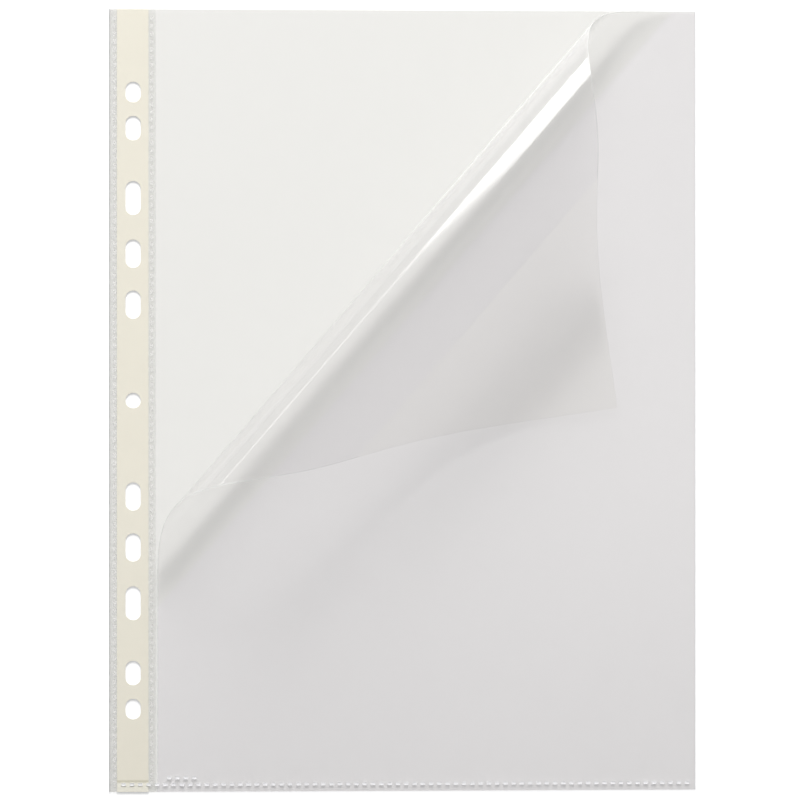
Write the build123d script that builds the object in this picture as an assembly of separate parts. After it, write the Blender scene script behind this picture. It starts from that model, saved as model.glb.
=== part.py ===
from build123d import *
import math
import os

# A4 punched pocket, lying on its back ply, filing strip at the left, top edge towards +Y.
# One clear film is folded at both sides round a stiff strip. The front ply is open along
# its top and its left edge, and its top left corner is rolled over to the lower right.

# Film and strip
pocket_width = 230.0
pocket_height = 306.0
film_thickness = 0.12
ply_gap = 0.20  # room between the plies, which the strip fills

# Filing edge, measured from the left fold
strip_inset = 3.0
strip_width = 12.3
hole_inset = 9.3
hole_width = 6.0
slot_places = [37.5, 57.4, 79.2, 106.5, 120.6]  # slot centres above and below the middle hole
slot_lengths = [11.0, 11.0, 13.2, 9.5, 8.0]

# Stitched welds, each a row of pads
pad_length = 1.8
pad_width = 1.2
side_pitch = 3.05
bottom_pitch = 3.25
outer_weld_gap = 0.2  # to the strip
inner_weld_gap = 0.6  # to the strip
bottom_weld_inset = 2.9
row_margin = 2.0

# Front ply and its turned corner
cover_margin = 1.0  # cover ply past the inner weld
mouth_gap = 0.6  # from the cover ply to the free left edge
lift_inset = 9.3  # upper end of the line where the film leaves the sheet, from the right side
lift_height = 72.0  # lower end of that line, above the bottom edge
roll_turn = 219.5  # degrees from the sheet to the steepest slope of the flap
roll_lead = 0.8  # below 1 the film turns most in the first half of the roll
roll_bends = 5  # equal bends that the roll opens at
corner_flat = 10.0  # film at the corner that lies flat again
corner_rest = 0.3  # corner above the front ply
seam_gap = 0.05  # between stretches of film that bend apart
loft_steps = 5

# Heights and edges that follow from these
outer_weld_inset = strip_inset - outer_weld_gap - pad_width / 2
inner_weld_inset = strip_inset + strip_width + inner_weld_gap + pad_width / 2
cover_width = inner_weld_inset + pad_width / 2 + cover_margin
front_inset = cover_width + mouth_gap
turned_top = pocket_width - front_inset - lift_inset
turned_left = pocket_height - lift_height
front_low = film_thickness + ply_gap
front_mid = front_low + film_thickness / 2
fold_radius = film_thickness + ply_gap / 2
left_edge = -pocket_width / 2
inner_right = pocket_width / 2 - fold_radius
inner_left = left_edge + fold_radius
front_left = left_edge + front_inset
top_edge = pocket_height / 2
bottom_edge = -top_edge

# The film leaves the sheet along a slanted line. Across the line s runs to the upper left,
# and along it t runs to the lower left, both measured on the flat film.
slant = math.atan2(turned_left, turned_top)
lift_point = Vector(front_left + turned_top, top_edge, 0)
across = Vector(-math.sin(slant), math.cos(slant), 0)
along = Vector(-math.cos(slant), -math.sin(slant), 0)
lift_length = math.hypot(turned_top, turned_left)


def mean(value):
    """Mean of a function of a share, from none to all of a stretch."""
    count = 400
    return sum(value((i + 0.5) / count) for i in range(count)) / count


def ease(share):
    return share * share * (3 - 2 * share)


def roll_heading(share):
    """Direction of the film in the roll, which bends gently where it starts and ends."""
    return math.radians(roll_turn * ease(share**roll_lead))


def flap_heading(share):
    """Direction of the flap, which slopes down from the roll and levels out."""
    return math.radians(roll_turn - (roll_turn - 180.0) * ease(share))


# Cross-section: the roll is as long as lets the flap come down just before the flat corner
corner_end = turned_top * math.sin(slant)
landing_end = corner_end - corner_flat
roll_rise = mean(lambda share: math.sin(roll_heading(share)))
flap_fall = -mean(lambda share: math.sin(flap_heading(share)))
corner_height = film_thickness + corner_rest
roll_length = (landing_end * flap_fall + corner_height) / (flap_fall + roll_rise)
flap_length = landing_end - roll_length


def heading_at(s):
    if s <= roll_length:
        return roll_heading(s / roll_length)
    return flap_heading(min(s - roll_length, flap_length) / flap_length)


def section_at(s):
    """Distance across, height and direction of the film's middle at length s past the lift line."""
    bent = min(s, landing_end)
    x = bent * mean(lambda share: math.cos(heading_at(share * bent)))
    z = bent * mean(lambda share: math.sin(heading_at(share * bent)))
    return x - (s - bent), front_mid + z, heading_at(s)


def roll_place(share):
    """Length at which the roll has made this share of its turn."""
    return roll_length * (0.5 - math.sin(math.asin(1 - 2 * share) / 3)) ** (1 / roll_lead)


def film_point(s, t, lift):
    """Point of the turned film at (s, t) on the flat, lift above the film's middle."""
    x, z, turn = section_at(s)
    x -= lift * math.sin(turn)
    z += lift * math.cos(turn)
    return lift_point + across * x + along * t + Vector(0, 0, z)


def top_side(s):
    return s / math.tan(slant)


def left_side(s):
    return lift_length - s * math.tan(slant)


def film_section(s):
    half = film_thickness / 2
    corners = [(top_side(s), -half), (left_side(s), -half), (left_side(s), half), (top_side(s), half)]
    return Face(Wire.make_polygon([film_point(s, t, lift) for t, lift in corners]))


def bent_film(start, end):
    """Stretch of film that bends round lines parallel to the lift line."""
    steps = [start + (end - start) * i / (loft_steps - 1) for i in range(loft_steps)]
    return loft([film_section(s) for s in steps])


def flat_film(start, end):
    """Tip of the turned film, a flat three-cornered plate."""
    half = film_thickness / 2
    outline = [(start, top_side(start)), (start, left_side(start)), (end, left_side(end))]
    low = [film_point(s, t, -half) for s, t in outline]
    rise = film_point(start, 0, half) - film_point(start, 0, -half)
    return Solid.extrude(Face(Wire.make_polygon(low)), rise)


def plate(x_low, x_high, z_low, thickness):
    """Full-height strip of film or board between two x values."""
    size = (x_high - x_low, pocket_height, thickness)
    return Pos(x_low, bottom_edge, z_low) * Box(*size, align=(Align.MIN, Align.MIN, Align.MIN))


def punch():
    """Round hole at the middle, with slots above and below for every common ring spacing."""
    holes = Sketch() + Circle(hole_width / 2)
    for place, length in zip(slot_places, slot_lengths):
        for side in (-1, 1):
            holes += Pos(0, side * place) * Rot(0, 0, 90) * SlotOverall(length, hole_width)
    depth = 2 * fold_radius
    return extrude(Pos(left_edge + hole_inset, 0, -depth) * holes, amount=3 * depth)


def side_fold(side):
    """The film's turn-over along one side, joining the back ply to the ply above it."""
    ring = Circle(fold_radius) - Circle(fold_radius - film_thickness)
    half_ring = ring & Pos(side * fold_radius / 2, 0) * Rectangle(fold_radius, 2 * fold_radius)
    centre = (side * inner_right, top_edge, fold_radius)
    return extrude(Plane(origin=centre, x_dir=(1, 0, 0), z_dir=(0, -1, 0)) * half_ring, amount=pocket_height)


def pad_row(x, y, run, pitch, upright):
    """Weld pads along a line of length run centred on x, y, filling the room between the plies."""
    count = int((run - 2 * row_margin - pad_length) // pitch) + 1
    size = (pad_width, pad_length) if upright else (pad_length, pad_width)
    pad = Box(*size, ply_gap, align=(Align.CENTER, Align.CENTER, Align.MIN))
    pads = []
    for i in range(count):
        step = (i - (count - 1) / 2) * pitch
        shift = (x, y + step) if upright else (x + step, y)
        pads.append(Pos(*shift, film_thickness) * pad)
    return Compound(pads)


def front_sheet():
    """The part of the front ply that lies flat, with its top left corner cut off at the lift line."""
    outline = [
        (front_left, bottom_edge),
        (inner_right, bottom_edge),
        (inner_right, top_edge),
        (front_left + turned_top, top_edge),
        (front_left, top_edge - turned_left),
    ]
    face = Face(Wire.make_polygon([(x, y, front_low) for x, y in outline]))
    return Solid.extrude(face, Vector(0, 0, film_thickness))


# Plies, folds and strip
holes = punch()
pieces = {
    "back_film": plate(inner_left, inner_right, 0, film_thickness) - holes,
    "left_fold": side_fold(-1),
    "right_fold": side_fold(1),
    "strip_cover": plate(inner_left, left_edge + cover_width, front_low, film_thickness) - holes,
    "front_film": front_sheet(),
}
strip_left = left_edge + strip_inset
pieces["filing_strip"] = plate(strip_left, strip_left + strip_width, film_thickness, ply_gap) - holes

# Welds
pieces["outer_weld"] = pad_row(left_edge + outer_weld_inset, 0, pocket_height, side_pitch, True)
pieces["inner_weld"] = pad_row(left_edge + inner_weld_inset, 0, pocket_height, side_pitch, True)
bottom_run = inner_right - front_left
bottom_middle = (inner_right + front_left) / 2
bottom_line = bottom_edge + bottom_weld_inset
pieces["bottom_weld"] = pad_row(bottom_middle, bottom_line, bottom_run, bottom_pitch, False)

# Roll, opening at bends that each make the same turn, so it is cut halfway through each
cuts = [0.0] + [roll_place((i + 0.5) / roll_bends) for i in range(roll_bends)] + [roll_length]
roll_names = ["roll_foot"] + [f"roll_{i}" for i in range(1, roll_bends)] + ["roll_crest"]
for name, start, end in zip(roll_names, cuts, cuts[1:]):
    low = start + seam_gap / 2 if name != "roll_foot" else start
    high = end - seam_gap / 2 if name != "roll_crest" else end
    pieces[name] = bent_film(low, high)

# Sloping flap, its landing in two halves and the flat corner
landing_start = roll_length + flap_length / 4
landing_cut = roll_length + flap_length / 2
pieces["turned_flap"] = bent_film(roll_length, landing_start)
pieces["flap_landing"] = bent_film(landing_start, landing_cut - seam_gap / 2)
pieces["corner_landing"] = bent_film(landing_cut + seam_gap / 2, landing_end)
pieces["turned_corner"] = flat_film(landing_end, corner_end)

os.makedirs("parts", exist_ok=True)
for name, piece in pieces.items():
    piece.label = name
    export_step(piece, f"parts/{name}.step")
    print(name, round(piece.volume, 2))
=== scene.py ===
import bpy
import bmesh
import math
from mathutils import Matrix, Vector


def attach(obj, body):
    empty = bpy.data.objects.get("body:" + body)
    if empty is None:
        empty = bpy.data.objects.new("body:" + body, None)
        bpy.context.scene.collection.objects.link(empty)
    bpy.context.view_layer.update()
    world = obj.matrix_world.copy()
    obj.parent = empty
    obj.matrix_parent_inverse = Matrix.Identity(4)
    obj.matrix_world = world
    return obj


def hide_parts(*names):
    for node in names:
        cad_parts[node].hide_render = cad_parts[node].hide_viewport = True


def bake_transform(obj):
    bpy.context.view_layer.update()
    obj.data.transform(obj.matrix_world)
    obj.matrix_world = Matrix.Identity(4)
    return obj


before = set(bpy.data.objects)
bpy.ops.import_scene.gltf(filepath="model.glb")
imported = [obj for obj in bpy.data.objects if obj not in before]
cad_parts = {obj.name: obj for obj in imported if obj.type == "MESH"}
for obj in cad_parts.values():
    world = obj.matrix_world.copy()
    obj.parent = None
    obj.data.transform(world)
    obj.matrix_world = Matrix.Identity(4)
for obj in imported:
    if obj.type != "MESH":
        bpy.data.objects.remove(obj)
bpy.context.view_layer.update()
mm = 0.001

# camera, almost straight down, a touch to the strip side of the page
cameraSetup = {
    "distance": 1.4,
    "sideways": -0.054,
    "aim": (-0.0013, 0.0002, 0.0),
    "lens": 160.8,
    "sensor": 36.0,
    "clip": (0.05, 20.0),
    "filmLayers": 40,  # how many clear faces one ray may pass
}


def placeCamera(setup):
    data = bpy.data.cameras.new("pageCamera")
    data.lens = setup["lens"]
    data.sensor_width = setup["sensor"]
    data.clip_start, data.clip_end = setup["clip"]
    camera = bpy.data.objects.new("pageCamera", data)
    bpy.context.scene.collection.objects.link(camera)
    aim = Vector(setup["aim"])
    camera.location = aim + Vector((setup["sideways"], 0, setup["distance"]))
    back = (camera.location - aim).normalized()
    right = Vector((0, 1, 0)).cross(back).normalized()
    up = back.cross(right)
    camera.rotation_euler = Matrix((right, up, back)).transposed().to_euler()
    bpy.context.scene.camera = camera


placeCamera(cameraSetup)
bpy.context.scene.view_settings.view_transform = "Standard"
bpy.context.scene.cycles.transparent_max_bounces = cameraSetup["filmLayers"]
print("camera placed")


# small helpers for node trees
def putNode(tree, kind, **values):
    node = tree.nodes.new(kind)
    for key, value in values.items():
        if hasattr(node, key):
            setattr(node, key, value)
        else:
            node.inputs[key.replace("_", " ")].default_value = value
    return node


def mixColours(tree, first=None, second=None):  # sockets 6 and 7 are the colours, 2 the result
    node = putNode(tree, "ShaderNodeMix", data_type="RGBA")
    for socket, colour in ((6, first), (7, second)):
        if colour:
            node.inputs[socket].default_value = (*colour, 1)
    return node


def lineBetween(tree, low, high):  # goes from low to high as its first input goes from 0 to 1
    node = putNode(tree, "ShaderNodeMath", operation="MULTIPLY_ADD")
    node.inputs[1].default_value = high - low
    node.inputs[2].default_value = low
    return node


def wire(tree, source, target):
    tree.links.new(source, target)


def newMaterial(name):
    material = bpy.data.materials.new(name)
    material.use_nodes = True
    material.node_tree.nodes.clear()
    return material, material.node_tree


# shared effect: slow waves of thin film and the faint scuffs of handling
surfaceLook = {
    "inputs": (("Wave Size", 9.0), ("Scuff Size", 260.0), ("Low", 0.05), ("High", 0.1)),
    "outputs": ("Height", "Roughness", "Scuff"),
    "scuffStretch": (1.0, 0.25, 1.0),
    "scuffFrom": 0.52,
    "scuffTo": 0.78,
}


def makeFilmSurface(look):
    group = bpy.data.node_groups.new("filmSurface", "ShaderNodeTree")
    face = group.interface
    for label, value in look["inputs"]:
        face.new_socket(label, in_out="INPUT", socket_type="NodeSocketFloat").default_value = value
    for label in look["outputs"]:
        face.new_socket(label, in_out="OUTPUT", socket_type="NodeSocketFloat")
    enter = putNode(group, "NodeGroupInput")
    leave = putNode(group, "NodeGroupOutput")
    place = putNode(group, "ShaderNodeTexCoord")
    wave = putNode(group, "ShaderNodeTexNoise", Detail=1.0, Roughness=0.4)
    scuff = putNode(group, "ShaderNodeTexNoise", Detail=5.0, Roughness=0.65)
    stretch = putNode(group, "ShaderNodeMapping")
    stretch.inputs["Scale"].default_value = look["scuffStretch"]
    spread = putNode(group, "ShaderNodeMapRange")
    patch = putNode(group, "ShaderNodeMapRange")
    patch.inputs["From Min"].default_value = look["scuffFrom"]
    patch.inputs["From Max"].default_value = look["scuffTo"]
    wire(group, place.outputs["Object"], wave.inputs["Vector"])
    wire(group, enter.outputs["Wave Size"], wave.inputs["Scale"])
    wire(group, place.outputs["Object"], stretch.inputs["Vector"])
    wire(group, stretch.outputs["Vector"], scuff.inputs["Vector"])
    wire(group, enter.outputs["Scuff Size"], scuff.inputs["Scale"])
    wire(group, scuff.outputs["Fac"], spread.inputs["Value"])
    wire(group, enter.outputs["Low"], spread.inputs["To Min"])
    wire(group, enter.outputs["High"], spread.inputs["To Max"])
    wire(group, scuff.outputs["Fac"], patch.inputs["Value"])
    wire(group, wave.outputs["Fac"], leave.inputs["Height"])
    wire(group, spread.outputs["Result"], leave.inputs["Roughness"])
    wire(group, patch.outputs["Result"], leave.inputs["Scuff"])
    return group


filmSurface = makeFilmSurface(surfaceLook)

# clear film: passes nearly all light face on, mirrors and darkens as it turns edge on
filmLooks = {
    "backFilm": {
        "tint": (0.845, 0.84, 0.823), "mirror": 0.065, "rough": (0.05, 0.1),
        "edge": 0.6, "shade": 0.4, "bend": 8.0, "glow": 0.0, "rim": 0.0,
    },
    "coverFilm": {
        "tint": (0.958, 0.958, 0.953), "mirror": 0.055, "rough": (0.05, 0.1),
        "edge": 0.6, "shade": 0.4, "bend": 8.0, "glow": 0.0, "rim": 0.0,
    },
    "frontFilm": {
        "tint": (0.988, 0.98, 1.0), "mirror": 0.047, "rough": (0.05, 0.1),
        "edge": 0.95, "shade": 0.1, "bend": 8.0, "glow": 0.0, "rim": 0.2,
    },
    # glow is a painted highlight: white haze where the film turns edge on
    "rollFilm": {
        "tint": (0.985, 0.982, 0.984), "mirror": 0.044, "rough": (0.1, 0.16),
        "edge": 0.95, "shade": 0.0, "bend": 2.2, "glow": 0.38, "rim": 0.2,
    },
    "flapFilm": {
        "tint": (1.0, 0.998, 0.988), "mirror": 0.044, "rough": (0.1, 0.16),
        "edge": 0.98, "shade": 0.0, "bend": 3.4, "glow": 0.1, "rim": 0.04,
    },
    # the folds are darker tints of the clear film: painted shade along the page's folded edges,
    # darker on the left than on the right
    "leftFoldShade": {
        "tint": (0.42, 0.42, 0.43), "mirror": 0.08, "rough": (0.05, 0.1),
        "edge": 0.4, "shade": 0.4, "bend": 8.0, "glow": 0.0, "rim": 0.0,
    },
    "rightFoldShade": {
        "tint": (0.84, 0.84, 0.85), "mirror": 0.08, "rough": (0.05, 0.1),
        "edge": 0.7, "shade": 0.6, "bend": 8.0, "glow": 0.0, "rim": 0.0,
    },
}
filmWear = {
    "gloss": (0.98, 0.98, 0.98),
    "waveBump": 0.06,
    "waveDepth": 0.0006,
    "haze": 0.012,
    "hazeRough": 0.4,
    "clean": (0.92, 0.92, 0.91),
    "scuffed": (0.98, 0.98, 0.97),
    "steep": 4.6,
    "shadowSteep": 7.5,
    "flatBend": 8.0,
    "glowSteep": 2.4,
    "fullMirror": 0.6,
}


def makeFilm(name, look):
    wear = filmWear
    material, tree = newMaterial(name)
    out = putNode(tree, "ShaderNodeOutputMaterial")
    surface = putNode(tree, "ShaderNodeGroup")
    surface.node_tree = filmSurface
    surface.inputs["Low"].default_value, surface.inputs["High"].default_value = look["rough"]
    bump = putNode(tree, "ShaderNodeBump", Strength=wear["waveBump"], Distance=wear["waveDepth"])
    weight = putNode(tree, "ShaderNodeLayerWeight", Blend=0.5)
    path = putNode(tree, "ShaderNodeLightPath")
    side = putNode(tree, "ShaderNodeNewGeometry")
    bent = putNode(tree, "ShaderNodeAttribute", attribute_name="bent")
    # mask for the painted highlight along the roll
    highlightFade = putNode(tree, "ShaderNodeAttribute", attribute_name="highlightFade")
    rim = putNode(tree, "ShaderNodeAttribute", attribute_name="rim")

    # mirror: stronger edge on, and not once more in a reflection, where it only adds noise
    steepness = lineBetween(tree, wear["steep"], wear["shadowSteep"])
    steep = putNode(tree, "ShaderNodeMath", operation="POWER")
    mirrorShare = lineBetween(tree, look["mirror"], wear["fullMirror"])
    firstGlance = lineBetween(tree, 1.0, 0.0)
    mirrorOnce = putNode(tree, "ShaderNodeMath", operation="MULTIPLY")
    mirror = putNode(tree, "ShaderNodeBsdfGlossy")
    mirror.inputs["Color"].default_value = (*wear["gloss"], 1)
    wire(tree, surface.outputs["Height"], bump.inputs["Height"])
    wire(tree, path.outputs["Is Shadow Ray"], steepness.inputs[0])
    wire(tree, weight.outputs["Facing"], steep.inputs[0])
    wire(tree, steepness.outputs[0], steep.inputs[1])
    wire(tree, steep.outputs[0], mirrorShare.inputs[0])
    wire(tree, path.outputs["Is Glossy Ray"], firstGlance.inputs[0])
    wire(tree, mirrorShare.outputs[0], mirrorOnce.inputs[0])
    wire(tree, firstGlance.outputs[0], mirrorOnce.inputs[1])
    wire(tree, surface.outputs["Roughness"], mirror.inputs["Roughness"])
    wire(tree, bump.outputs["Normal"], mirror.inputs["Normal"])

    # clear: darkens as light goes the long way through, in shadows most, and sooner where it bends
    bend = lineBetween(tree, wear["flatBend"], look["bend"])
    longWay = putNode(tree, "ShaderNodeMath", operation="POWER")
    edgeTone = lineBetween(tree, look["edge"], look["shade"])
    colour = mixColours(tree, look["tint"])
    clear = putNode(tree, "ShaderNodeBsdfTransparent")
    wire(tree, bent.outputs["Fac"], bend.inputs[0])
    wire(tree, weight.outputs["Facing"], longWay.inputs[0])
    wire(tree, bend.outputs[0], longWay.inputs[1])
    wire(tree, path.outputs["Is Shadow Ray"], edgeTone.inputs[0])
    wire(tree, longWay.outputs[0], colour.inputs[0])
    wire(tree, edgeTone.outputs[0], colour.inputs[7])
    wire(tree, colour.outputs[2], clear.inputs["Color"])

    # haze: a trace all over; more on the cut rims, partly the rims' own whitening and partly a
    # painted highlight; and a painted highlight of white haze where the roll turns edge on, fading
    # down the roll
    haze = putNode(tree, "ShaderNodeBsdfPrincipled", Roughness=wear["hazeRough"])
    hazeColour = mixColours(tree, wear["clean"], wear["scuffed"])
    rimShare = lineBetween(tree, wear["haze"], wear["haze"] + look["rim"])
    slope = putNode(tree, "ShaderNodeMath", operation="POWER")
    slope.inputs[1].default_value = wear["glowSteep"]
    # painted highlight: white haze where the film turns edge on, faded down the roll by its mask
    gleamMask = putNode(tree, "ShaderNodeMath", operation="MULTIPLY")
    glowShare = putNode(tree, "ShaderNodeMath", operation="MULTIPLY_ADD")
    glowShare.inputs[1].default_value = look["glow"]
    wire(tree, surface.outputs["Scuff"], hazeColour.inputs[0])
    wire(tree, hazeColour.outputs[2], haze.inputs["Base Color"])
    wire(tree, rim.outputs["Fac"], rimShare.inputs[0])
    wire(tree, weight.outputs["Facing"], slope.inputs[0])
    wire(tree, slope.outputs[0], gleamMask.inputs[0])
    wire(tree, highlightFade.outputs["Fac"], gleamMask.inputs[1])
    wire(tree, gleamMask.outputs[0], glowShare.inputs[0])
    wire(tree, rimShare.outputs[0], glowShare.inputs[2])

    # all three together on the way in, and nothing on the way out
    glossMix = putNode(tree, "ShaderNodeMixShader")
    hazeMix = putNode(tree, "ShaderNodeMixShader")
    inside = putNode(tree, "ShaderNodeBsdfTransparent")
    wayOut = putNode(tree, "ShaderNodeMixShader")
    wire(tree, mirrorOnce.outputs[0], glossMix.inputs["Fac"])
    wire(tree, clear.outputs[0], glossMix.inputs[1])
    wire(tree, mirror.outputs[0], glossMix.inputs[2])
    wire(tree, glowShare.outputs[0], hazeMix.inputs["Fac"])
    wire(tree, glossMix.outputs[0], hazeMix.inputs[1])
    wire(tree, haze.outputs[0], hazeMix.inputs[2])
    wire(tree, side.outputs["Backfacing"], wayOut.inputs["Fac"])
    wire(tree, hazeMix.outputs[0], wayOut.inputs[1])
    wire(tree, inside.outputs[0], wayOut.inputs[2])
    wire(tree, wayOut.outputs[0], out.inputs["Surface"])
    return material


films = {name: makeFilm(name, look) for name, look in filmLooks.items()}

# cream filing strip, satin, slightly mottled, paler on its foot, with a pressed crease above its
# foot drawn as a painted shade line
stripLook = {
    "pale": (0.941, 0.901, 0.79),
    "deep": (0.92, 0.875, 0.76),
    # painted shade: the dark line along the crease
    "creaseShade": (0.66, 0.62, 0.49),
    "foot": (0.96, 0.93, 0.83),
    "creaseAt": -0.1489,
    "creaseWidth": 0.0009,
    "creaseShare": 0.8,
    "rough": 0.45,
    "cloud": 70.0,
    "grain": 900.0,
    "grainBump": 0.15,
    "grainDepth": 0.00005,
}


def makeStripBoard(look):
    material, tree = newMaterial("creamStrip")
    out = putNode(tree, "ShaderNodeOutputMaterial")
    board = putNode(tree, "ShaderNodeBsdfPrincipled", Roughness=look["rough"])
    place = putNode(tree, "ShaderNodeTexCoord")
    cloud = putNode(tree, "ShaderNodeTexNoise", Scale=look["cloud"], Detail=3.0)
    grain = putNode(tree, "ShaderNodeTexNoise", Scale=look["grain"], Detail=2.0)
    bump = putNode(tree, "ShaderNodeBump", Strength=look["grainBump"], Distance=look["grainDepth"])
    axes = putNode(tree, "ShaderNodeSeparateXYZ")
    below = putNode(tree, "ShaderNodeMath", operation="LESS_THAN")
    below.inputs[1].default_value = look["creaseAt"]
    offset = putNode(tree, "ShaderNodeMath", operation="SUBTRACT")
    offset.inputs[1].default_value = look["creaseAt"]
    away = putNode(tree, "ShaderNodeMath", operation="ABSOLUTE")
    # painted shade line along the crease, fading over its width
    shadeLine = putNode(tree, "ShaderNodeMapRange", interpolation_type="SMOOTHSTEP")
    shadeLine.inputs["From Max"].default_value = look["creaseWidth"]
    shadeLine.inputs["To Min"].default_value = look["creaseShare"]
    shadeLine.inputs["To Max"].default_value = 0.0
    mottled = mixColours(tree, look["deep"], look["pale"])
    footed = mixColours(tree, second=look["foot"])
    shadedBoard = mixColours(tree, second=look["creaseShade"])
    wire(tree, place.outputs["Object"], cloud.inputs["Vector"])
    wire(tree, place.outputs["Object"], grain.inputs["Vector"])
    wire(tree, place.outputs["Object"], axes.inputs[0])
    wire(tree, axes.outputs["Y"], below.inputs[0])
    wire(tree, axes.outputs["Y"], offset.inputs[0])
    wire(tree, offset.outputs[0], away.inputs[0])
    wire(tree, away.outputs[0], shadeLine.inputs["Value"])
    wire(tree, cloud.outputs["Fac"], mottled.inputs[0])
    wire(tree, below.outputs[0], footed.inputs[0])
    wire(tree, mottled.outputs[2], footed.inputs[6])
    wire(tree, shadeLine.outputs["Result"], shadedBoard.inputs[0])
    wire(tree, footed.outputs[2], shadedBoard.inputs[6])
    wire(tree, shadedBoard.outputs[2], board.inputs["Base Color"])
    wire(tree, grain.outputs["Fac"], bump.inputs["Height"])
    wire(tree, bump.outputs["Normal"], board.inputs["Normal"])
    wire(tree, board.outputs[0], out.inputs["Surface"])
    return material


creamStrip = makeStripBoard(stripLook)

# fused spots, milkier than the film round them
weldWear = {"clear": (0.99, 0.99, 0.99), "rough": 0.55, "cloud": 600.0}
weldLooks = {
    "sideWeld": {"colour": (0.95, 0.95, 0.94), "low": 0.1, "high": 0.2},
    "bottomWeld": {"colour": (0.97, 0.97, 0.97), "low": 0.6, "high": 0.95},
}


def makeFusedFilm(name, look):
    material, tree = newMaterial(name)
    out = putNode(tree, "ShaderNodeOutputMaterial")
    milk = putNode(tree, "ShaderNodeBsdfPrincipled", Roughness=weldWear["rough"])
    milk.inputs["Base Color"].default_value = (*look["colour"], 1)
    clear = putNode(tree, "ShaderNodeBsdfTransparent")
    clear.inputs["Color"].default_value = (*weldWear["clear"], 1)
    place = putNode(tree, "ShaderNodeTexCoord")
    cloud = putNode(tree, "ShaderNodeTexNoise", Scale=weldWear["cloud"], Detail=2.0)
    share = putNode(tree, "ShaderNodeMapRange")
    share.inputs["To Min"].default_value = look["low"]
    share.inputs["To Max"].default_value = look["high"]
    mix = putNode(tree, "ShaderNodeMixShader")
    wire(tree, place.outputs["Object"], cloud.inputs["Vector"])
    wire(tree, cloud.outputs["Fac"], share.inputs["Value"])
    wire(tree, share.outputs["Result"], mix.inputs["Fac"])
    wire(tree, clear.outputs[0], mix.inputs[1])
    wire(tree, milk.outputs[0], mix.inputs[2])
    wire(tree, mix.outputs[0], out.inputs["Surface"])
    return material


welds = {name: makeFusedFilm(name, look) for name, look in weldLooks.items()}
print("materials ready")


def finishPiece(name, bm, material):  # pieces are modelled in mm and kept in metres
    bmesh.ops.scale(bm, vec=(mm, mm, mm), verts=bm.verts[:])
    mesh = bpy.data.meshes.new(name)
    bm.to_mesh(mesh)
    bm.free()
    mesh.materials.append(material)
    piece = bpy.data.objects.new(name, mesh)
    bpy.context.scene.collection.objects.link(piece)
    return piece


# flat plies, folds and strip are the solids themselves, dressed
for nodeName, material in (
    ("back_film", films["backFilm"]),
    ("left_fold", films["leftFoldShade"]),
    ("right_fold", films["rightFoldShade"]),
    ("strip_cover", films["coverFilm"]),
):
    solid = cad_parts[nodeName]
    solid.data.materials.clear()
    solid.data.materials.append(material)
print("plies dressed")

# filing strip: the punched solid, a hair thinner so that it lies free between its plies
stripBoard = {"middle": 0.22, "squeeze": 0.8, "weld": 0.001}


def cutStrip(setup):
    bm = bmesh.new()
    bm.from_mesh(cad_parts["filing_strip"].data)
    bmesh.ops.scale(bm, vec=(1 / mm, 1 / mm, 1 / mm), verts=bm.verts[:])
    bmesh.ops.remove_doubles(bm, verts=bm.verts[:], dist=setup["weld"])
    lower = Matrix.Translation((0, 0, -setup["middle"]))
    bmesh.ops.scale(bm, vec=(1, 1, setup["squeeze"]), space=lower, verts=bm.verts[:])
    return bm


piece = finishPiece("filingStrip", cutStrip(stripBoard), creamStrip)
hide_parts("filing_strip")
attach(piece, "pocket")
print("strip laid in")

# front ply: flat sheet, roll, sloping flap, landing and corner, all in mm
page = {"width": 230.0, "height": 306.0, "frontInset": 18.7, "foldRadius": 0.22}
turned = {
    "top": 202.0,
    "left": 234.0,
    "turn": 219.5,
    "lead": 0.8,
    "flat": 10.0,
    "rest": 0.3,
    "mid": 0.38,
    "thickness": 0.12,
}
frontLeft = -page["width"] / 2 + page["frontInset"]
frontRight = page["width"] / 2 - page["foldRadius"]
pageTop = page["height"] / 2
slant = math.atan2(turned["left"], turned["top"])
liftPoint = Vector((frontLeft + turned["top"], pageTop, 0))
across = Vector((-math.sin(slant), math.cos(slant), 0))
along = Vector((-math.cos(slant), -math.sin(slant), 0))
liftLength = math.hypot(turned["top"], turned["left"])


def mean(value, count=400):
    return sum(value((i + 0.5) / count) for i in range(count)) / count


def ease(share):
    return share * share * (3 - 2 * share)


def rollHeading(share):  # bends gently where the roll starts and ends
    return math.radians(turned["turn"] * ease(share ** turned["lead"]))


def flapHeading(share):  # slopes down from the roll and levels out
    return math.radians(turned["turn"] - (turned["turn"] - 180.0) * ease(share))


cornerEnd = turned["top"] * math.sin(slant)
landingEnd = cornerEnd - turned["flat"]
rollRise = mean(lambda share: math.sin(rollHeading(share)))
flapFall = -mean(lambda share: math.sin(flapHeading(share)))
cornerHeight = turned["thickness"] + turned["rest"]
rollEnd = (landingEnd * flapFall + cornerHeight) / (flapFall + rollRise)
flapRun = landingEnd - rollEnd


def headingAt(s):
    if s <= rollEnd:
        return rollHeading(max(s, 0.0) / rollEnd)
    return flapHeading(min(s - rollEnd, flapRun) / flapRun)


sectionCache = {}


def sectionAt(s):  # distance across, height and heading of the film at length s
    key = round(s, 4)
    if key not in sectionCache:
        bent = min(s, landingEnd)
        x = bent * mean(lambda share: math.cos(headingAt(share * bent)))
        z = bent * mean(lambda share: math.sin(headingAt(share * bent)))
        sectionCache[key] = (x - (s - bent), turned["mid"] + z, headingAt(s))
    return sectionCache[key]


def rollPlace(share):  # length at which the roll has made this share of its turn
    return rollEnd * (0.5 - math.sin(math.asin(1 - 2 * share) / 3)) ** (1 / turned["lead"])


def filmPoint(s, t, lift=0.0):
    x, z, heading = sectionAt(s)
    x -= lift * math.sin(heading)
    z += lift * math.cos(heading)
    return liftPoint + across * x + along * t + Vector((0, 0, z))


def topSide(s):
    return s / math.tan(slant)


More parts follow.
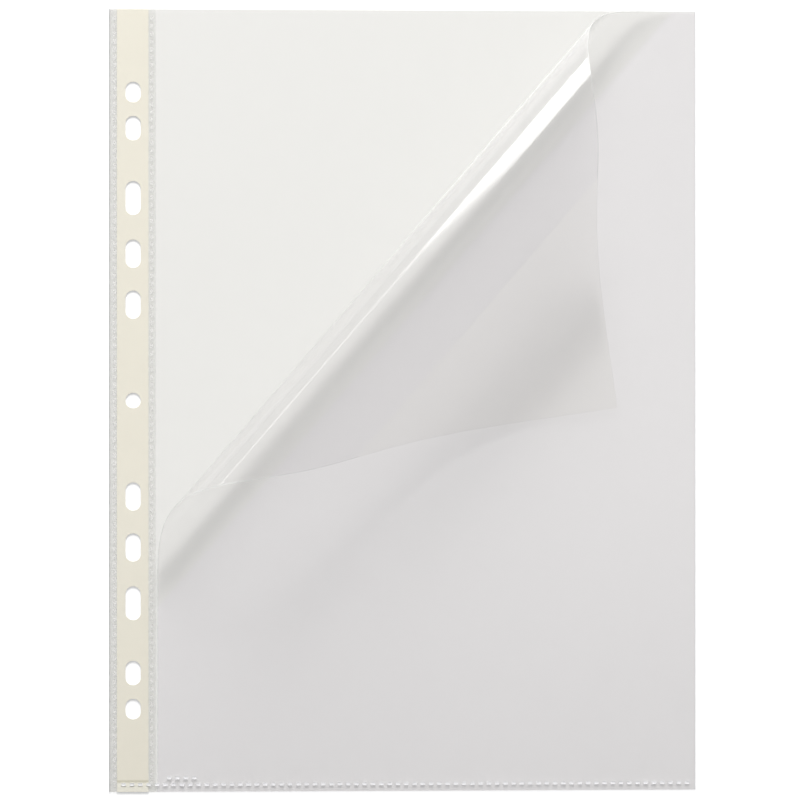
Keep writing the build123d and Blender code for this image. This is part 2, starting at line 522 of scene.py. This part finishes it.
def leftSide(s):
    return liftLength - s * math.tan(slant)


# marks that the film's looks read: how far it is bent away, where the painted highlight along the
# roll shows, and its cut rims
filmMarks = {
    "bendReach": 22.0,
    "highlightFadeFrom": 90.0,
    "highlightFadeOver": 100.0,
    "highlightFadeDrop": 0.85,
    "rimWidth": 0.45,
}
sheetCuts = {"edgeLoop": 0.03, "along": 12.0, "tip": 0.1, "sharp": 40.0}


def bentShare(s):  # all where the film stands away from the sheet, none where it lies flat
    if s >= landingEnd:
        return 0.0
    rising = ease(min(s / filmMarks["bendReach"], 1.0))
    falling = ease(min((landingEnd - s) / (flapRun / 2), 1.0))
    return min(rising, falling)


def highlightFadeShare(t):  # painted highlight mask: full at the roll's upper end, fading down the roll
    fade = min(max((t - filmMarks["highlightFadeFrom"]) / filmMarks["highlightFadeOver"], 0.0), 1.0)
    return 1.0 - filmMarks["highlightFadeDrop"] * ease(fade)


def slicePlane(bm, place, normal):
    everything = bm.verts[:] + bm.edges[:] + bm.faces[:]
    bmesh.ops.bisect_plane(bm, geom=everything, plane_co=place, plane_no=normal)


def cutSheet(bm, places, normal):
    for place in places:
        slicePlane(bm, Vector(normal) * place, normal)


def thicken(bm):
    bmesh.ops.recalc_face_normals(bm, faces=bm.faces[:])
    bmesh.ops.solidify(bm, geom=bm.faces[:], thickness=turned["thickness"])
    bmesh.ops.recalc_face_normals(bm, faces=bm.faces[:])
    for edge in bm.edges:
        edge.smooth = edge.calc_face_angle(0) < math.radians(sheetCuts["sharp"])
    for face in bm.faces:
        face.smooth = True


def bentSheet(start, end, steps):
    bm = bmesh.new()
    outline = [(start, topSide(start)), (start, leftSide(start)), (end, leftSide(end))]
    if leftSide(end) - topSide(end) > sheetCuts["tip"]:
        outline.append((end, topSide(end)))
    bm.faces.new([bm.verts.new((s, t, 0)) for s, t in outline])
    places = [start + (end - start) * i / steps for i in range(1, steps)]
    loops = [start + sheetCuts["edgeLoop"], end - sheetCuts["edgeLoop"]]
    cutSheet(bm, loops[:1] + places + loops[1:], (1, 0, 0))
    step, low, high = sheetCuts["along"], topSide(start), leftSide(start)
    cutSheet(bm, [step * i for i in range(1, int(high // step) + 1) if step * i > low], (0, 1, 0))
    rimWidth = filmMarks["rimWidth"]
    topNormal = Vector((-math.cos(slant), math.sin(slant), 0))
    leftNormal = Vector((-math.sin(slant), -math.cos(slant), 0))
    leftEnd = Vector((0, liftLength, 0))
    slicePlane(bm, topNormal * rimWidth, topNormal)
    slicePlane(bm, leftEnd + leftNormal * rimWidth, leftNormal)
    # rim: the cut edges get extra haze, partly their own whitening and partly a painted highlight
    rim = bm.verts.layers.float.new("rim")
    bent = bm.verts.layers.float.new("bent")
    # mask for the painted highlight along the roll's outline
    highlightFade = bm.verts.layers.float.new("highlightFade")
    half = turned["thickness"] / 2
    for vert in bm.verts:
        inset = min(vert.co.dot(topNormal), (vert.co - leftEnd).dot(leftNormal))
        vert[rim] = 1.0 if inset < rimWidth / 2 else 0.0
        vert[bent] = bentShare(vert.co.x)
        vert[highlightFade] = highlightFadeShare(vert.co.y)
        vert.co = filmPoint(vert.co.x, vert.co.y, half)
    thicken(bm)
    return bm


bends = [rollPlace(i / 5) for i in range(5)]
flapSolids = ("turned_flap", "flap_landing", "corner_landing")
frontPieces = [
    # name, start, end, steps, bodies, solids it stands for
    ("rollOne", 0.0, bends[1], 18, ("pocket", "bend_1"), ("roll_foot",)),
    ("rollTwo", bends[1], bends[2], 18, ("bend_1", "bend_2"), ("roll_1",)),
    ("rollThree", bends[2], bends[3], 18, ("bend_2", "bend_3"), ("roll_2",)),
    ("rollFour", bends[3], bends[4], 18, ("bend_3", "bend_4"), ("roll_3",)),
    ("rollFive", bends[4], rollEnd, 24, ("bend_4", "flap"), ("roll_4", "roll_crest")),
    ("landing", rollEnd, landingEnd, 40, ("flap", "corner"), flapSolids),
    ("turnedCorner", landingEnd, cornerEnd, 4, ("corner",), ("turned_corner",)),
]
turnedFilm = bpy.data.collections.new("turnedFilm")
for name, start, end, steps, bodies, solids in frontPieces:
    film = films["rollFilm"] if end <= rollEnd else films["flapFilm"]
    piece = finishPiece(name, bentSheet(start, end, steps), film)
    turnedFilm.objects.link(piece)
    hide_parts(*solids)
    if len(bodies) == 1:
        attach(piece, bodies[0])
    else:
        first, last = filmPoint(start, 0), filmPoint(end, 0)
        last -= along * (last - first).dot(along)
        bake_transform(piece)


def frontSheet():
    bm = bmesh.new()
    outline = [
        (frontLeft, -pageTop),
        (frontRight, -pageTop),
        (frontRight, pageTop),
        (liftPoint.x, pageTop),
        (frontLeft, pageTop - turned["left"]),
    ]
    top = turned["mid"] + turned["thickness"] / 2
    rimWidth = filmMarks["rimWidth"]
    bm.faces.new([bm.verts.new((x, y, top)) for x, y in outline])
    slicePlane(bm, (frontLeft + rimWidth, 0, 0), (1, 0, 0))
    slicePlane(bm, (0, pageTop - rimWidth, 0), (0, 1, 0))
    # rim: the free cut edges get extra haze, partly their own whitening and partly a painted
    # highlight
    rim = bm.verts.layers.float.new("rim")
    for vert in bm.verts:
        free = vert.co.x < frontLeft + rimWidth / 2 or vert.co.y > pageTop - rimWidth / 2
        vert[rim] = 1.0 if free else 0.0
    thicken(bm)
    return bm


piece = finishPiece("frontSheet", frontSheet(), films["frontFilm"])
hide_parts("front_film")
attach(piece, "pocket")
print("front ply and its turned corner made")

# stitched welds: rows of fused spots, a hair proud of the film
stitch = {
    "length": 1.8,
    "width": 1.2,
    "low": 0.37,
    "high": 0.444,
    "round": 0.25,
    "dentRim": 0.3,
    "dent": 0.045,
    "sidePitch": 3.05,
    "bottomPitch": 3.25,
    "margin": 2.0,
    "outerInset": 2.2,
    "innerInset": 16.5,
    "bottomInset": 2.9,
    "footCount": 5,  # on under the strip
    "shortCount": 4,  # short second row at the pocket's lower left
    "shortShift": (1.5, 2.6),
}


def stitchRow(spots, upright):
    bm = bmesh.new()
    size = (stitch["width"], stitch["length"]) if upright else (stitch["length"], stitch["width"])
    tall = stitch["high"] - stitch["low"]
    for x, y in spots:
        place = Matrix.Translation((x, y, (stitch["high"] + stitch["low"]) / 2))
        bmesh.ops.create_cube(bm, size=1.0, matrix=place @ Matrix.Diagonal((*size, tall, 1)))
    posts = [e for e in bm.edges if abs(e.verts[0].co.z - e.verts[1].co.z) > tall / 2]
    bmesh.ops.bevel(
        bm, geom=posts, offset=stitch["round"], segments=2, profile=0.5, affect="EDGES", material=-1
    )
    tops = [face for face in bm.faces if face.calc_center_median().z > stitch["high"] - tall / 4]
    bmesh.ops.inset_individual(bm, faces=tops, thickness=stitch["dentRim"], depth=-stitch["dent"])
    return bm


def rowSteps(run, pitch):
    count = int((run - 2 * stitch["margin"] - stitch["length"]) // pitch) + 1
    return [(i - (count - 1) / 2) * pitch for i in range(count)]


sideSteps = rowSteps(page["height"], stitch["sidePitch"])
pageLeft = -page["width"] / 2
bottomMiddle = (frontLeft + frontRight) / 2
bottomLine = -pageTop + stitch["bottomInset"]
bottomPitch = stitch["bottomPitch"]
bottomSteps = rowSteps(frontRight - frontLeft, bottomPitch)
firstSpot = bottomMiddle + bottomSteps[0]
shortX, shortY = firstSpot + stitch["shortShift"][0], bottomLine + stitch["shortShift"][1]
bottomSpots = [(bottomMiddle + s, bottomLine) for s in bottomSteps]
bottomSpots += [(firstSpot - bottomPitch * i, bottomLine) for i in range(1, stitch["footCount"] + 1)]
bottomSpots += [(shortX + bottomPitch * i, shortY) for i in range(stitch["shortCount"])]
rows = (
    ("outerStitches", [(pageLeft + stitch["outerInset"], s) for s in sideSteps], True, "outer_weld"),
    ("innerStitches", [(pageLeft + stitch["innerInset"], s) for s in sideSteps], True, "inner_weld"),
    ("bottomStitches", bottomSpots, False, "bottom_weld"),
)
for name, spots, upright, solid in rows:
    material = welds["sideWeld"] if upright else welds["bottomWeld"]
    piece = finishPiece(name, stitchRow(spots, upright), material)
    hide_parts(solid)
    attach(piece, "pocket")
print("welds stitched")

# pale floor, white to the eye and still catching the shadow
floorLook = {"size": 8.0, "height": -0.00005, "albedo": 0.8, "lift": 0.32}


def layFloor(look):
    bm = bmesh.new()
    bmesh.ops.create_grid(bm, x_segments=1, y_segments=1, size=look["size"] / 2)
    bmesh.ops.translate(bm, vec=(0, 0, look["height"]), verts=bm.verts[:])
    mesh = bpy.data.meshes.new("floor")
    bm.to_mesh(mesh)
    bm.free()
    floor = bpy.data.objects.new("floor", mesh)
    bpy.context.scene.collection.objects.link(floor)
    material, tree = newMaterial("paleFloor")
    out = putNode(tree, "ShaderNodeOutputMaterial")
    matt = putNode(tree, "ShaderNodeBsdfDiffuse")
    matt.inputs["Color"].default_value = (look["albedo"], look["albedo"], look["albedo"], 1)
    path = putNode(tree, "ShaderNodeLightPath")
    eyeOrMirror = putNode(tree, "ShaderNodeMath", operation="MAXIMUM")
    seen = putNode(tree, "ShaderNodeMath", operation="MAXIMUM")
    strength = putNode(tree, "ShaderNodeMath", operation="MULTIPLY")
    strength.inputs[1].default_value = look["lift"]
    glow = putNode(tree, "ShaderNodeEmission")
    both = putNode(tree, "ShaderNodeAddShader")
    wire(tree, path.outputs["Is Camera Ray"], eyeOrMirror.inputs[0])
    wire(tree, path.outputs["Is Glossy Ray"], eyeOrMirror.inputs[1])
    wire(tree, eyeOrMirror.outputs[0], seen.inputs[0])
    wire(tree, path.outputs["Is Transmission Ray"], seen.inputs[1])
    wire(tree, seen.outputs[0], strength.inputs[0])
    wire(tree, strength.outputs[0], glow.inputs["Strength"])
    wire(tree, matt.outputs[0], both.inputs[0])
    wire(tree, glow.outputs[0], both.inputs[1])
    wire(tree, both.outputs[0], out.inputs["Surface"])
    floor.data.materials.append(material)


layFloor(floorLook)

# studio: low window light from the top of the page, a softbox across the roll, and a pale room
windowLight = {"reach": 3.5, "height": 19.0, "size": (1.5, 1.3), "power": 241.0}
softbox = {
    "reach": 0.8,
    "lean": 50.0,
    "slide": 0.46,
    "turn": 10.0,
    "size": (0.44, 0.75),
    "power": 9.5,
}
slimLamp = {
    "reach": 0.8,
    "lean": 60.0,
    "slide": -0.02,
    "turn": 0.0,
    "size": (0.05, 0.3),
    "power": 0.2,
}
room = {
    "dim": (0.1, 0.106, 0.12),
    "bright": (0.7, 0.7, 0.688),
    "from": -0.135,
    "to": -0.015,
    "lean": (-0.1, 0.995, 0.0),
}


def openWindow(setup):
    data = bpy.data.lights.new("window", "AREA")
    data.shape = "RECTANGLE"
    data.size, data.size_y = setup["size"]
    data.energy = setup["power"]
    light = bpy.data.objects.new("window", data)
    bpy.context.scene.collection.objects.link(light)
    height = math.radians(setup["height"])
    light.location = Vector((0, math.cos(height), math.sin(height))) * setup["reach"]
    light.rotation_euler = (height - math.pi / 2, 0, 0)
    light.visible_glossy = False  # the flat plies would mirror all of it from low viewpoints


openWindow(windowLight)


def hangSoftbox(name, setup):
    data = bpy.data.lights.new(name, "AREA")
    data.shape = "RECTANGLE"
    data.size, data.size_y = setup["size"]
    data.energy = setup["power"]
    light = bpy.data.objects.new(name, data)
    bpy.context.scene.collection.objects.link(light)
    lean = math.radians(setup["lean"])
    back = across * math.sin(lean) + Vector((0, 0, math.cos(lean)))
    light.location = back * setup["reach"] - along * setup["slide"]
    light.visible_diffuse = False
    light.light_linking.receiver_collection = turnedFilm
    side = along.cross(back)
    frameTurn = Matrix.Rotation(math.radians(setup["turn"]), 3, back)
    light.rotation_euler = (frameTurn @ Matrix((side, -along, back)).transposed()).to_euler()


hangSoftbox("softbox", softbox)
hangSoftbox("slimLamp", slimLamp)


def paintRoom(setup):
    world = bpy.data.worlds.new("room")
    bpy.context.scene.world = world
    world.use_nodes = True
    tree = world.node_tree
    tree.nodes.clear()
    out = putNode(tree, "ShaderNodeOutputWorld")
    back = putNode(tree, "ShaderNodeBackground")
    place = putNode(tree, "ShaderNodeTexCoord")
    lean = putNode(tree, "ShaderNodeVectorMath", operation="DOT_PRODUCT")
    lean.inputs[1].default_value = setup["lean"]
    spread = putNode(tree, "ShaderNodeMapRange", interpolation_type="SMOOTHSTEP")
    spread.inputs["From Min"].default_value = setup["from"]
    spread.inputs["From Max"].default_value = setup["to"]
    colour = putNode(tree, "ShaderNodeMix", data_type="RGBA")
    colour.inputs[6].default_value = (*setup["dim"], 1)
    colour.inputs[7].default_value = (*setup["bright"], 1)
    wire(tree, place.outputs["Generated"], lean.inputs[0])
    wire(tree, lean.outputs["Value"], spread.inputs["Value"])
    wire(tree, spread.outputs["Result"], colour.inputs[0])
    wire(tree, colour.outputs[2], back.inputs["Color"])
    wire(tree, back.outputs[0], out.inputs["Surface"])


paintRoom(room)
print("studio lit")
